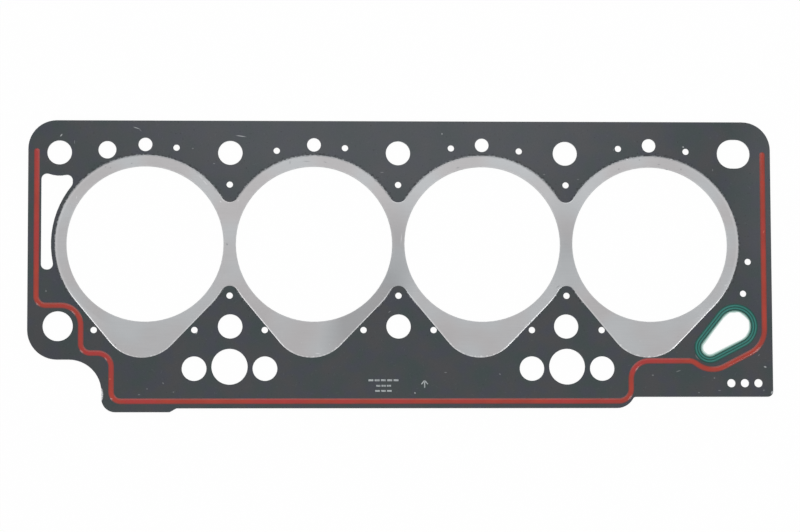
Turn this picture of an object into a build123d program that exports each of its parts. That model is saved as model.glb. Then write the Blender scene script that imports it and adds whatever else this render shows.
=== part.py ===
"""Composite cylinder head gasket for a four cylinder in-line engine.

A steel carrier sheet between two fibre facings, with one steel armour folded through the four
cylinder bores, a red silicone line printed on both faces and a rubber seal moulded round the oil
passage. Millimetres, +Z up. The origin is on the deck side face, midway along the row of bores.
The head side is up, and +X runs along the row.
"""

from build123d import *
import math
import os

# Cylinder bores
cylinder_count = 4
bore_diameter = 82.5
bore_land = 6.5

# Layers
facing_thickness = 0.55
core_thickness = 0.30

# Bore armour
armour_sheet = 0.20
armour_proud = 0.10
armour_flange_width = 6.0
armour_rim_slope = 0.40
fold_softening = 0.15
rear_flange_width = 2.5
lobe_radius = 21.3
lobe_offset_x = -1.5
lobe_inset = 2.35
web_fillet = 4.8

# Coolant slot beside the first cylinder
slot_width = 5.2
slot_edge_wall = 6.95
slot_armour_wall = 2.15
slot_bolt_wall = 5.85
slot_bottom_y = -13.7
slot_top_radius = 16.8
slot_shoulder_drop = 4.8
slot_end_radius = 3.0

# Outer edges
top_wall = 17.1
bottom_wall = 21.9
right_wall = 17.55
top_corner_radius = 15.0
right_corner_radius = 2.8

# Lower left corner: a lobe round the dowel, a round notch and a foot with a shallow tab
dowel_diameter = 15.8
dowel_inset = 15.95
dowel_drop = 2.35
dowel_wall = 9.7
dowel_lobe_radius = 15.6
notch_beyond_dowel = 23.0
notch_radius = 17.2
foot_radius = 7.2
tab_drop = 2.0
tab_end_offset_x = 13.1
tab_slope_length = 3.6
tab_corner_radius = 1.0

# Step up at the lower right
step_offset_x = -9.1
step_height = 5.9
step_slope = 60.0
step_low_radius = 9.5
step_high_radius = 2.0

# Head bolts: rises and drops are counted from the bore's edge
bolt_diameter = 12.9
bolt_pitch_trim = 0.3
upper_bolt_rise = 7.25
lower_bolt_drop = 2.45
end_bolt_inset = 16.45
oblong_inset = 19.6
oblong_width = 15.5
oblong_stretch = 2.1

# Round vents along the top
vent_diameter = 7.3
vent_rise = 11.65
wide_vent_diameter = 9.4
wide_vent_offset_x = -20.0
wide_vent_rise = 8.75

# Small coolant jets
jet_diameter = 3.4
near_jet_offset_x = 16.4
near_jet_rise = 9.95
far_jet_offset_x = 19.7
far_jet_rise = 8.45
web_jet_upper_wall = 15.7
web_jet_lower_wall = 11.5
lower_jet_wall = 4.7
first_jet_wall = 5.45
lower_jet_drop = 4.35
side_jet_inset = 12.6
side_jet_y = -9.2
corner_jet_inset = 15.3
corner_jet_y = -26.2

# Oil returns, in threes below the first and the last web
return_diameter = 19.0
return_drop = 21.3
return_side_diameter = 13.0
return_side_offset_x = 18.6
return_side_drop = 1.0

# Thickness marks punched at the lower right
mark_count = 3
mark_diameter = 4.4
mark_pitch = 7.2
mark_inset = 14.95
mark_rise = 7.2

# Oil passage beside the last cylinder, and its seal
passage_big_radius = 8.55
passage_big_inset = 19.75
passage_small_radius = 4.8
passage_small_rise = 5.25
passage_length_x = 13.7
passage_length_y = 11.3
seal_lining = 0.6
seal_flange_width = 3.5
seal_pad_height = 0.06
seal_ridge_height = 0.20
seal_ridge_crest = 0.45
seal_lip_width = 0.4

# Silicone line round the edge
bead_width = 3.1
bead_height = 0.27
bead_crest_width = 0.7
bead_shoulder_width = 1.9
bead_shoulder_height = 0.20
seat_depth = 0.03
bead_left_inset = 4.55
bead_right_inset = 4.25
bead_start_drop = 16.4
bead_end_drop = 17.5
bead_dowel_gap_x = 4.15
bead_dowel_gap_y = 3.05
bead_dowel_radius = 10.3
bead_corner_radius = 5.0
bead_shelf_inset = 3.4
bead_shelf_radius = 7.3
bead_foot_inset = 5.1
bead_bottom_inset = 3.7
bead_step_radius = 6.5
bead_step_inset = 1.5
bead_rise_radius = 9.6
bead_armour_gap = 0.2
bead_dip_lead = 9.2
bead_dip_angle = 36.0
bead_dip_start_radius = 6.4
bead_dip_radius = 13.5
bead_seal_gap = 2.55
bead_right_radius = 14.0

# Chip in the upper facing at the notch
chip_depth = 1.0
chip_length = 6.6
chip_drop = 18.4

# Values worked out from the sizes above
bore_radius = bore_diameter / 2
bore_pitch = bore_diameter + bore_land
first_bore_x = -(cylinder_count - 1) / 2 * bore_pitch
last_bore_x = -first_bore_x
body_thickness = 2 * facing_thickness + core_thickness
armour_radius = bore_radius + armour_flange_width
armour_valley_y = math.sqrt(armour_radius**2 - (bore_pitch / 2) ** 2)
sheet_bore_radius = bore_radius + armour_sheet
armour_seat = armour_sheet - armour_proud
lobe_offset_y = lobe_inset - bore_radius
lobe_bottom_y = lobe_offset_y - lobe_radius

slot_inner_radius = armour_radius + slot_armour_wall
slot_left_x = first_bore_x - slot_inner_radius - slot_width
left_x = slot_left_x - slot_edge_wall
right_x = last_bore_x + armour_radius + right_wall

bolt_pitch = bore_pitch - bolt_pitch_trim
upper_bolt_y = bore_radius + upper_bolt_rise
lower_bolt_y = -bore_radius - lower_bolt_drop
end_bolt_x = left_x + end_bolt_inset
return_y = lower_bolt_y - return_drop

top_edge_y = upper_bolt_y + top_wall
bottom_edge_y = return_y - bottom_wall
right_edge_y = bottom_edge_y + step_height
tab_y = bottom_edge_y - tab_drop
tab_end_x = first_bore_x + tab_end_offset_x
dowel_x = left_x + dowel_inset
dowel_y = -bore_radius - dowel_drop
notch_x = dowel_x + notch_beyond_dowel
notch_top_y = dowel_y - dowel_diameter / 2 - dowel_wall

step_x = last_bore_x + step_offset_x
step_turn = math.radians(step_slope)
step_foot_x = step_x - step_height / math.tan(step_turn)
step_room = 0.98 * step_height / math.sin(step_turn) / math.tan(step_turn / 2)
step_foot_radius = min(step_low_radius, step_room - step_high_radius)

passage_small_y = lobe_bottom_y + passage_small_rise
passage_big = (right_x - passage_big_inset, passage_small_y + passage_length_y)
passage_small = (passage_big[0] - passage_length_x, passage_small_y)
passage_span = math.hypot(passage_length_x, passage_length_y)
passage_angle = math.degrees(math.atan2(passage_length_y, passage_length_x))
passage_taper = math.degrees(math.asin((passage_big_radius - passage_small_radius) / passage_span))
bore_row = GridLocations(bore_pitch, 1, cylinder_count, 1)


def passage_outline(growth):
    """Teardrop of the oil passage grown outwards: two arcs joined by their common tangents."""
    side = 90 + passage_taper
    with BuildSketch(mode=Mode.PRIVATE) as teardrop:
        with BuildLine():
            big = CenterArc(
                passage_big, passage_big_radius + growth, passage_angle - side, 2 * side
            )
            small = CenterArc(
                passage_small, passage_small_radius + growth, passage_angle + side, 360 - 2 * side
            )
            Line(big @ 1, small @ 0)
            Line(small @ 1, big @ 0)
        make_face()
    return teardrop.sketch


# Outer edge of the sheets, clockwise from the top left, with a radius for each corner
with BuildSketch() as outer_edge:
    with BuildLine():
        FilletPolyline(
            (left_x, top_edge_y),
            (right_x, top_edge_y),
            (right_x, right_edge_y),
            (step_x, right_edge_y),
            (step_foot_x, bottom_edge_y),
            (tab_end_x + tab_slope_length, bottom_edge_y),
            (tab_end_x, tab_y),
            (notch_x, tab_y),
            (notch_x, notch_top_y),
            (left_x, notch_top_y),
            radius=[
                top_corner_radius,
                top_corner_radius,
                right_corner_radius,
                step_high_radius,
                step_foot_radius,
                tab_corner_radius,
                tab_corner_radius,
                foot_radius,
                notch_radius,
                dowel_lobe_radius,
            ],
            close=True,
        )
    make_face()

# Coolant slot, straight along the outer edge and concentric with the bore along the inner one
slot_top_y = upper_bolt_y - bolt_diameter / 2 - slot_bolt_wall
slot_dip_y = slot_top_y + slot_top_radius
slot_shoulder_y = slot_top_y - slot_shoulder_drop
slot_right_x = first_bore_x - math.sqrt(slot_inner_radius**2 - slot_shoulder_y**2)
slot_dip_rise = math.sqrt(slot_top_radius**2 - (slot_right_x - end_bolt_x) ** 2)
slot_shoulder_height = slot_dip_y - slot_dip_rise - slot_shoulder_y
slot_foot_x = first_bore_x - math.sqrt(slot_inner_radius**2 - slot_bottom_y**2)
slot_foot_width = slot_foot_x - slot_left_x
with BuildSketch() as coolant_slot:
    with BuildLine():
        Polyline(
            (slot_left_x, slot_dip_y),
            (slot_right_x, slot_dip_y),
            (slot_right_x, slot_bottom_y),
            (slot_left_x, slot_bottom_y),
            close=True,
        )
    make_face()
    with Locations((first_bore_x, 0)):
        Circle(slot_inner_radius, mode=Mode.SUBTRACT)
    with Locations((end_bolt_x, slot_dip_y)):
        Circle(slot_top_radius, mode=Mode.SUBTRACT)
    fillet(
        coolant_slot.vertices(),
        min(slot_end_radius, 0.45 * slot_foot_width, 0.48 * slot_shoulder_height),
    )

# Everything punched through the sheets apart from the cylinder bores and the oil passage
with BuildSketch() as punched_holes:
    with Locations((0, upper_bolt_y), (0, lower_bolt_y)):
        with GridLocations(bolt_pitch, 1, cylinder_count - 1, 1):
            Circle(bolt_diameter / 2)
    with Locations((end_bolt_x, upper_bolt_y)):
        Circle(bolt_diameter / 2)
    with Locations((right_x - oblong_inset, upper_bolt_y)):
        SlotOverall(oblong_width + oblong_stretch, oblong_width)
    with Locations((dowel_x, dowel_y)):
        Circle(dowel_diameter / 2)
    for bore in range(cylinder_count):
        bore_x = first_bore_x + bore * bore_pitch
        inward = 1 if bore_x < 0 else -1
        with Locations((bore_x, bore_radius + vent_rise)):
            Circle(vent_diameter / 2)
        with Locations((bore_x + inward * near_jet_offset_x, bore_radius + near_jet_rise)):
            Circle(jet_diameter / 2)
        if bore > 0:
            with Locations((bore_x - inward * far_jet_offset_x, bore_radius + far_jet_rise)):
                Circle(jet_diameter / 2)
        left_wall = lower_jet_wall if bore > 0 else first_jet_wall
        with Locations((bore_x - lobe_radius - left_wall, -bore_radius - lower_jet_drop)):
            Circle(jet_diameter / 2)
        if bore < cylinder_count - 1:
            with Locations((bore_x + lobe_radius + lower_jet_wall, -bore_radius - lower_jet_drop)):
                Circle(jet_diameter / 2)
    with Locations((first_bore_x + wide_vent_offset_x, bore_radius + wide_vent_rise)):
        Circle(wide_vent_diameter / 2)
    with Locations(
        (0, armour_valley_y + web_jet_upper_wall),
        (0, -armour_valley_y - web_jet_lower_wall),
    ):
        with GridLocations(bore_pitch, 1, cylinder_count - 1, 1):
            Circle(jet_diameter / 2)
    with Locations((right_x - side_jet_inset, side_jet_y)):
        Circle(jet_diameter / 2)
    with Locations((right_x - corner_jet_inset, corner_jet_y)):
        Circle(jet_diameter / 2)
    for web_x in (first_bore_x + bore_pitch / 2, last_bore_x - bore_pitch / 2):
        with Locations((web_x, return_y)):
            Circle(return_diameter / 2)
        with Locations((web_x, return_y - return_side_drop)):
            with GridLocations(2 * return_side_offset_x, 1, 2, 1):
                Circle(return_side_diameter / 2)
    with Locations((right_x - mark_inset, right_edge_y + mark_rise)):
        with GridLocations(mark_pitch, 1, mark_count, 1):
            Circle(mark_diameter / 2)
    add(coolant_slot.sketch)

# Plan of the three sheets
with BuildSketch() as sheet_plan:
    add(outer_edge.sketch)
    add(punched_holes.sketch, mode=Mode.SUBTRACT)
    add(passage_outline(seal_lining), mode=Mode.SUBTRACT)
    with bore_row:
        Circle(sheet_bore_radius, mode=Mode.SUBTRACT)

# Plan of the armour's upper flange: a ring with a lobe for each bore, joined at the webs
with BuildSketch() as bore_lobe:
    Circle(armour_radius)
    with Locations((lobe_offset_x, lobe_offset_y)):
        Circle(lobe_radius)
    make_hull()

with BuildSketch() as armour_plan:
    with bore_row:
        add(bore_lobe.sketch)
    web_corners = armour_plan.vertices().filter_by(
        lambda v: first_bore_x < v.X < last_bore_x and 1 < abs(v.Y) < armour_radius / 2
    )
    fillet(web_corners, web_fillet)

with BuildSketch() as bore_holes:
    with bore_row:
        Circle(bore_radius)

# Centre line of the silicone, from the upper left down, along the bottom and up the right side
bead_left_x = left_x + bead_left_inset
bead_right_x = right_x - bead_right_inset
bead_dowel_x = dowel_x + dowel_diameter / 2 + bead_dowel_gap_x
bead_dowel_y = dowel_y + dowel_diameter / 2 + bead_dowel_gap_y
bead_shelf_y = notch_top_y + bead_shelf_inset
bead_foot_x = notch_x + bead_foot_inset
bead_bottom_y = bottom_edge_y + bead_bottom_inset
bead_step_x = step_x - bead_step_inset
bead_upper_y = lobe_bottom_y - bead_armour_gap - bead_width / 2
bead_dip_x = passage_small[0] - bead_dip_lead

# The dip follows the lower side of the seal: its rising line is parallel to the seal's flank
rise_angle = math.radians(passage_angle - passage_taper)
rise_clear = passage_big_radius + seal_flange_width + bead_seal_gap + bead_width / 2
rise_x = passage_big[0] + rise_clear * math.sin(rise_angle)
rise_y = passage_big[1] - rise_clear * math.cos(rise_angle)
fall_slope = math.tan(math.radians(bead_dip_angle))
rise_slope = math.tan(rise_angle)
bead_low_x = (bead_upper_y - rise_y + fall_slope * bead_dip_x + rise_slope * rise_x) / (
    fall_slope + rise_slope
)
bead_low_y = rise_y + rise_slope * (bead_low_x - rise_x)
bead_turn_y = rise_y + rise_slope * (bead_right_x - rise_x)

with BuildLine() as bead_line:
    FilletPolyline(
        (bead_left_x, top_edge_y - bead_start_drop),
        (bead_left_x, bead_dowel_y),
        (bead_dowel_x, bead_dowel_y),
        (bead_dowel_x, bead_shelf_y),
        (bead_foot_x, bead_shelf_y),
        (bead_foot_x, bead_bottom_y),
        (bead_step_x, bead_bottom_y),
        (bead_step_x, bead_upper_y),
        (bead_dip_x, bead_upper_y),
        (bead_low_x, bead_low_y),
        (bead_right_x, bead_turn_y),
        (bead_right_x, top_edge_y - bead_end_drop),
        radius=[
            bead_corner_radius,
            bead_dowel_radius,
            bead_corner_radius,
            bead_shelf_radius,
            bead_corner_radius,
            bead_step_radius,
            bead_rise_radius,
            bead_dip_start_radius,
            bead_dip_radius,
            bead_right_radius,
        ],
    )

bead_wire = bead_line.wire()

with BuildSketch() as bead_footprint:
    with BuildLine():
        offset(bead_wire, amount=bead_width / 2, side=Side.BOTH)
    make_face()

with BuildSketch() as bead_section:
    with BuildLine():
        Polyline(
            (-bead_width / 2, -seat_depth),
            (bead_width / 2, -seat_depth),
            (bead_width / 2, 0),
            (bead_shoulder_width / 2, bead_shoulder_height),
            (bead_crest_width / 2, bead_height),
            (-bead_crest_width / 2, bead_height),
            (-bead_shoulder_width / 2, bead_shoulder_height),
            (-bead_width / 2, 0),
            close=True,
        )
    make_face()

seal_footprint = passage_outline(seal_flange_width)

# Carrier sheet between the facings
with BuildPart() as steel_core:
    with BuildSketch(Plane.XY.offset(facing_thickness)):
        add(sheet_plan.sketch)
    extrude(amount=core_thickness)

# Head side facing, pressed in under the armour, the silicone and the seal, and chipped once
with BuildPart() as upper_facing:
    with BuildSketch(Plane.XY.offset(facing_thickness + core_thickness)):
        add(sheet_plan.sketch)
        with Locations((notch_x, notch_top_y - chip_drop)):
            Ellipse(chip_depth, chip_length / 2, mode=Mode.SUBTRACT)
    extrude(amount=facing_thickness)
    with BuildSketch(Plane.XY.offset(body_thickness)):
        add(armour_plan.sketch)
    extrude(amount=-armour_seat, mode=Mode.SUBTRACT)
    with BuildSketch(Plane.XY.offset(body_thickness)):
        add(bead_footprint.sketch)
        add(seal_footprint)
    extrude(amount=-seat_depth, mode=Mode.SUBTRACT)

# Deck side facing, pressed in under the narrow folded rings
with BuildPart() as lower_facing:
    with BuildSketch():
        add(sheet_plan.sketch)
    extrude(amount=facing_thickness)
    with BuildSketch():
        with bore_row:
            Circle(bore_radius + rear_flange_width)
    extrude(amount=armour_seat, mode=Mode.SUBTRACT)
    with BuildSketch():
        add(bead_footprint.sketch)
        add(seal_footprint)
    extrude(amount=seat_depth, mode=Mode.SUBTRACT)

# Armour: one sheet with a wide upper flange, a collar through each bore and a folded ring below
with BuildPart() as bore_armour:
    with BuildSketch(Plane.XY.offset(body_thickness - armour_seat)):
        add(armour_plan.sketch)
    extrude(amount=armour_sheet)
    rim = bore_armour.faces().sort_by(Axis.Z)[-1]
    chamfer(rim.outer_wire().edges(), armour_rim_slope, armour_proud, reference=rim)
    with BuildSketch(Plane.XY.offset(-armour_proud)):
        with bore_row:
            Circle(sheet_bore_radius)
    extrude(amount=body_thickness + 2 * armour_proud)
    with BuildSketch(Plane.XY.offset(-armour_proud)):
        with bore_row:
            Circle(bore_radius + rear_flange_width)
    extrude(amount=armour_sheet)
    with BuildSketch(Plane.XY.offset(-armour_proud)):
        add(bore_holes.sketch)
    extrude(amount=body_thickness + 2 * armour_proud, mode=Mode.SUBTRACT)
    folds = bore_armour.edges().filter_by(GeomType.CIRCLE)
    folds = folds.filter_by(lambda e: abs(e.radius - bore_radius) < 0.01)
    chamfer(folds, min(fold_softening, 0.9 * armour_sheet))

# Silicone line on the head side: a low dome seated in the facing, with round ends
bead_level = Location((0, 0, body_thickness))
bead_path = bead_wire.moved(bead_level)
with BuildPart() as perimeter_bead_upper:
    with BuildSketch(Plane(bead_path @ 0, x_dir=(1, 0, 0), z_dir=bead_path % 0)):
        add(bead_section.sketch)
    sweep(path=bead_path)
    for end in (0, 1):
        tip = Plane(bead_path @ end, x_dir=(1, 0, 0), z_dir=(0, -1, 0))
        with BuildSketch(tip):
            add(bead_section.sketch)
            Rectangle(bead_width, 1, align=(Align.MAX, Align.CENTER), mode=Mode.SUBTRACT)
        revolve(axis=Axis(bead_path @ end, (0, 0, 1)), revolution_arc=360)

with BuildPart() as perimeter_bead_lower:
    mirror(perimeter_bead_upper.part, about=Plane.XY.offset(body_thickness / 2))

# Oil passage seal: a lining through the hole and a flange with two ridges and a lip on each face
passage_edge = passage_outline(0).face().outer_wire()
seal_section_plane = Plane(
    passage_edge @ 0,
    x_dir=(passage_edge % 0).cross(Vector(0, 0, 1)),
    z_dir=-(passage_edge % 0),
)
ridge_width = (seal_flange_width - 2 * seal_lip_width) / 2
ridge_crest = min(seal_ridge_crest, 0.9 * ridge_width)
with BuildPart() as oil_passage_seal:
    with BuildSketch(seal_section_plane):
        with BuildLine():
            for face_y, out in ((0, -1), (body_thickness, 1)):
                pad_y = face_y + out * seal_pad_height
                crest_y = pad_y + out * seal_ridge_height
                seat_y = face_y - out * seat_depth
                Polyline((0, body_thickness / 2), (0, pad_y), (seal_lip_width, pad_y))
                for ridge in range(2):
                    middle = seal_lip_width + (ridge + 0.5) * ridge_width
                    Polyline(
                        (middle - ridge_width / 2, pad_y),
                        (middle - ridge_crest / 2, crest_y),
                        (middle + ridge_crest / 2, crest_y),
                        (middle + ridge_width / 2, pad_y),
                    )
                Polyline(
                    (seal_flange_width - seal_lip_width, pad_y),
                    (seal_flange_width, pad_y),
                    (seal_flange_width, seat_y),
                    (seal_lining, seat_y),
                    (seal_lining, body_thickness / 2),
                )
        make_face()
    sweep(path=passage_edge)

os.makedirs("parts", exist_ok=True)

steel_core.part.label = "steel_core"
export_step(steel_core.part, "parts/steel_core.step")

upper_facing.part.label = "upper_facing"
export_step(upper_facing.part, "parts/upper_facing.step")

lower_facing.part.label = "lower_facing"
export_step(lower_facing.part, "parts/lower_facing.step")

bore_armour.part.label = "bore_armour"
export_step(bore_armour.part, "parts/bore_armour.step")

perimeter_bead_upper.part.label = "perimeter_bead_upper"
export_step(perimeter_bead_upper.part, "parts/perimeter_bead_upper.step")

perimeter_bead_lower.part.label = "perimeter_bead_lower"
export_step(perimeter_bead_lower.part, "parts/perimeter_bead_lower.step")

oil_passage_seal.part.label = "oil_passage_seal"
export_step(oil_passage_seal.part, "parts/oil_passage_seal.step")
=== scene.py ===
"""Looks of a composite cylinder head gasket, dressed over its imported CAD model. Metres, +Z up."""

import math

import bmesh
import bpy
from mathutils import Euler, Matrix, Vector, noise


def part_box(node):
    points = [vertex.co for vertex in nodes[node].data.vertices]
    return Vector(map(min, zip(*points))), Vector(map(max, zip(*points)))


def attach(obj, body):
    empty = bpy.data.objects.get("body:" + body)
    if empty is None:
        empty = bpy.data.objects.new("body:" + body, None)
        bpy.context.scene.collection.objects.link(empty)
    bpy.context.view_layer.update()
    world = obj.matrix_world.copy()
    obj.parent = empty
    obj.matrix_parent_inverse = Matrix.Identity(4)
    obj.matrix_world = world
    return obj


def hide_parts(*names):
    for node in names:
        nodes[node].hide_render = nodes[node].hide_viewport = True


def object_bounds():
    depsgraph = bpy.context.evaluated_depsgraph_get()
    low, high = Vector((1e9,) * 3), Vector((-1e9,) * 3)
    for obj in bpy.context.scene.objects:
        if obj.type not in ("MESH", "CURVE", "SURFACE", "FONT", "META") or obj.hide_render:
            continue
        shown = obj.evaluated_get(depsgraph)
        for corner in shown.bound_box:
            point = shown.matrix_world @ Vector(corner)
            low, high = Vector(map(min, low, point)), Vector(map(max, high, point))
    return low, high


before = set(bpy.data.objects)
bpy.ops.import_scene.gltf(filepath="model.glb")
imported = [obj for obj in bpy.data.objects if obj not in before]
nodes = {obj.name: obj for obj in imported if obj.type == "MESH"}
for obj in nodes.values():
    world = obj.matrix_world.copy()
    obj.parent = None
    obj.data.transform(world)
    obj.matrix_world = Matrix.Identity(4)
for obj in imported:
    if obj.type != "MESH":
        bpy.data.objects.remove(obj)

cad_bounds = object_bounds()


# Facings: two sheets of aramid fibre and rubber, rolled matt and dark with graphite, and bonded
# to the core. Every bolt, coolant and oil hole is punched through them. The rolls leave a cloudy
# drift in the colour, and short pale fibres and grit show at the surface.

mm = 0.001
FACING_HEX_WARM = "#3b3c3f"
FACING_HEX_COOL = "#313d3e"
FACING_HEX_BLUE = "#373a45"
FACING_PAINTED_LIGHT_HEX = "#56595e"
FIBRE_HEX = "#7a7f82"
FACING_DARK_HEX = "#202326"
FRINGE_HEX = "#a0a4a6"
SCUFF_HEX = "#c3c7c9"
CLOUD_SIZE = 18 * mm
DRIFT_SIZE = 9 * mm
DRIFT_SHIFT = (310 * mm, 170 * mm, 0.0)
GRAIN_SIZE = 0.7 * mm
FIBRE_LENGTH = 3.0 * mm
FIBRE_WIDTH = 0.4 * mm
FIBRE_TURNS = (20, 75, 140)
GRIT_SPACING = 9.0 * mm
GRIT_LARGEST_SHARE = 0.045
FRINGE_SIZE = 0.8 * mm
FRINGE_WIDTH = 0.8 * mm
PIT_SIZE = 1.2 * mm
PIT_SHADE_BAND = (0.3 * mm, 2.2 * mm)
FACING_RELIEF = 0.03 * mm
BORE_PITCH = 89.0 * mm
OUTER_BORE_X = 1.5 * BORE_PITCH
ARMOUR_RADIUS = 47.25 * mm
LOBE_OFFSET_X = -1.5 * mm
LOBE_OFFSET_Y = -38.9 * mm
RING_FOOT_Y = -31.0 * mm
RING_FOOT_FADE = 4 * mm

# Each noise or mark starts to show at its first value and shows in full at its second. Nearly all
# of a noise's values lie in the span.
NOISE_SPAN = (0.3, 0.7)
CLOUD_RAMP = (0.38, 0.62)
DRIFT_RAMP = (0.48, 0.64)
STRAND_RAMP = (0.74, 0.82)
GRIT_RAMP = (0.55, 0.98)
FRINGE_RAMP = (0.60, 0.68)
PIT_AND_SHADE_RAMP = (0.68, 0.76)
MARK_RAMP = (0.05, 0.6)

# How much of each colour lies on the sheet where it shows in full, how far the grain lightens and
# darkens the sheet, and how far the armour's rim raises the noise of the frayed edge and of the
# pits, which are partly painted shade
BLUE_SHARE = 0.8
PAINTED_LIGHT_SHARE = 0.47
DARK_SHARE = 0.22
FIBRE_SHARE = 0.2
GRIT_SHARE = 0.5
PIT_AND_SHADE_SHARE = 0.7
SCUFF_SHARE = 0.75
SPECK_SHARE = 0.26
GRAIN_CONTRAST = 0.08
FRINGE_LIFT = 0.22
PIT_SHADE_LIFT = 0.22
FIBRE_LIFT = 0.6
FACING_ROUGHNESS = (0.50, 0.58)

# The paler stretches of painted light and the dark corner of the sheet, scuffs and worn points of
# its edge, and fainter specks of grit. Each has its place, length and width in millimetres, and its
# turn in degrees. A mark reaches its depth up and down, well past both faces of the sheet.
PAINTED_LIGHT_ZONES = [(-5, 62, 380, 130, 0), (225, 30, 110, 170, 0)]
DARK_ZONES = [(-182, -62, 150, 90, 0)]
MARK_DEPTH = 100 * mm
FACING_SCUFFS = [
    (-83.1, 57.4, 6.6, 0.6, -8),
    (-177.8, 57.6, 2.2, 0.9, 50),
    (-138.2, 61.6, 4.6, 0.5, -18),
    (-106.3, -47.0, 2.4, 0.8, 60),
    (8.5, -78.9, 1.2, 0.9, -58),
    (23.4, 58.9, 1.0, 0.8, 90),
    (151.9, 52.2, 1.2, 1.0, -45),
    (194.2, -65.2, 1.9, 1.0, -16),
    (197.7, -78.7, 2.4, 1.3, 60),
    (175.0, -32.6, 1.6, 0.5, 0),
    (178.3, -32.6, 1.2, 0.5, 0),
]
FACING_SPECKS = [
    (-136.2, 60.4, 2.0, 0.5, -50),
    (-170.8, 54.0, 2.6, 0.5, 90),
    (-173.1, 45.4, 1.6, 0.8, 30),
    (-123.8, -73.7, 1.5, 0.8, -50),
    (-132.2, -76.7, 1.0, 0.8, 0),
    (-136.4, -79.7, 1.6, 0.7, 10),
    (-118.4, -78.4, 0.9, 0.7, 0),
    (-108.5, 50.7, 1.2, 0.8, 0),
    (-185.3, -25.1, 1.2, 1.1, 0),
    (-97.3, 42.7, 1.4, 0.7, 0),
    (-4.8, -36.0, 2.0, 0.6, 30),
    (-8.5, 38.2, 2.4, 0.6, 0),
    (24.7, -68.1, 1.9, 0.6, 0),
    (53.4, -69.0, 1.4, 0.8, 139),
    (77.6, 37.3, 1.4, 0.6, 0),
    (95.6, 34.7, 1.3, 0.6, 0),
    (114.7, 50.6, 1.4, 0.6, 90),
    (167.5, 39.9, 1.4, 0.6, 90),
    (134.4, -69.6, 1.4, 1.0, 0),
    (148.0, -67.4, 3.4, 0.7, 20),
    (158.8, -78.8, 1.3, 0.7, 0),
    (167.1, -71.1, 1.1, 0.9, 0),
    (169.7, -77.7, 1.9, 0.6, 0),
    (191.0, -58.9, 1.9, 0.5, 45),
    (193.3, -77.6, 1.2, 0.9, 40),
    (161.8, -61.8, 1.8, 1.3, 40),
    (158.4, -59.8, 4.2, 2.0, -50),
]


def linear(hex_colour):
    """Turns an sRGB hex colour into linear red, green, blue and alpha."""
    channels = [int(hex_colour[i : i + 2], 16) / 255 for i in (1, 3, 5)]
    return [c / 12.92 if c <= 0.04045 else ((c + 0.055) / 1.055) ** 2.4 for c in channels] + [1]


def add_node(tree, kind, inputs, **settings):
    """Adds a node with its settings. Each input is a value, or the output that it is linked to."""
    node = tree.nodes.new(kind)
    for name, value in settings.items():
        setattr(node, name, value)
    for name, value in inputs.items():
        if isinstance(value, bpy.types.NodeSocket):
            tree.links.new(value, node.inputs[name])
        else:
            node.inputs[name].default_value = value
    return node


def start_material(name):
    """An empty material with a surface shader, and its Object coordinates."""
    material = bpy.data.materials.new(name)
    material.use_nodes = True
    tree = material.node_tree
    shader = tree.nodes["Principled BSDF"]
    coords = add_node(tree, "ShaderNodeTexCoord", {}).outputs["Object"]
    return material, tree, shader, coords


def spots_at(tree, coords, marks):
    """Soft spots and strokes at given places: 1 in the middle of each and 0 outside."""
    total = 0.0
    for x, y, length, width, turn in marks:
        place = add_node(
            tree,
            "ShaderNodeMapping",
            {
                "Vector": coords,
                "Location": (x * mm, y * mm, 0),
                "Rotation": (0, 0, math.radians(turn)),
                "Scale": (length / 2 * mm, width / 2 * mm, MARK_DEPTH),
            },
            vector_type="TEXTURE",
        ).outputs[0]
        spot = add_node(
            tree, "ShaderNodeTexGradient", {"Vector": place}, gradient_type="SPHERICAL"
        ).outputs["Fac"]
        total = add_node(
            tree, "ShaderNodeMath", {0: spot, 1: total}, operation="MAXIMUM"
        ).outputs[0]
    return total


def ring_and_lobe(tree, coords):
    """Distances from the nearest bore's centre and its lobe's, the Y place, and the way out."""
    split = add_node(tree, "ShaderNodeSeparateXYZ", {0: coords})
    cell = add_node(
        tree, "ShaderNodeMath", {0: split.outputs["X"], 1: BORE_PITCH}, operation="SNAP"
    ).outputs[0]
    middle = add_node(
        tree, "ShaderNodeMath", {0: cell, 1: BORE_PITCH / 2}, operation="ADD"
    ).outputs[0]
    bore_x = add_node(
        tree, "ShaderNodeClamp", {"Value": middle, "Min": -OUTER_BORE_X, "Max": OUTER_BORE_X}
    ).outputs[0]
    across = add_node(
        tree, "ShaderNodeMath", {0: split.outputs["X"], 1: bore_x}, operation="SUBTRACT"
    ).outputs[0]
    from_bore = add_node(
        tree, "ShaderNodeCombineXYZ", {0: across, 1: split.outputs["Y"]}
    ).outputs[0]
    distances = []
    for centre in ((0, 0, 0), (LOBE_OFFSET_X, LOBE_OFFSET_Y, 0)):
        distances.append(
            add_node(
                tree, "ShaderNodeVectorMath", {0: from_bore, 1: centre}, operation="DISTANCE"
            ).outputs["Value"]
        )
    return distances[0], distances[1], split.outputs["Y"], from_bore


def shade_by(tree, colour, gain):
    """The colour made lighter or darker by a gain near 1."""
    grey = add_node(tree, "ShaderNodeCombineColor", {0: gain, 1: gain, 2: gain}).outputs[0]
    return add_node(
        tree,
        "ShaderNodeMix",
        {0: 1.0, 6: colour, 7: grey},
        data_type="RGBA",
        blend_type="MULTIPLY",
    ).outputs[2]


# Rolled fibre facing: a dull charcoal sheet to the eye, between warm and blue grey, that greys
# towards grazing light. Its real felt is about 0.1 mm fine and its fibres are thinner still, so
# the grain, the fibres and the frayed edge are all drawn several times coarser, to show at all.
facing, tree, shader, coords = start_material("rolled_fibre_facing")
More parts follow.
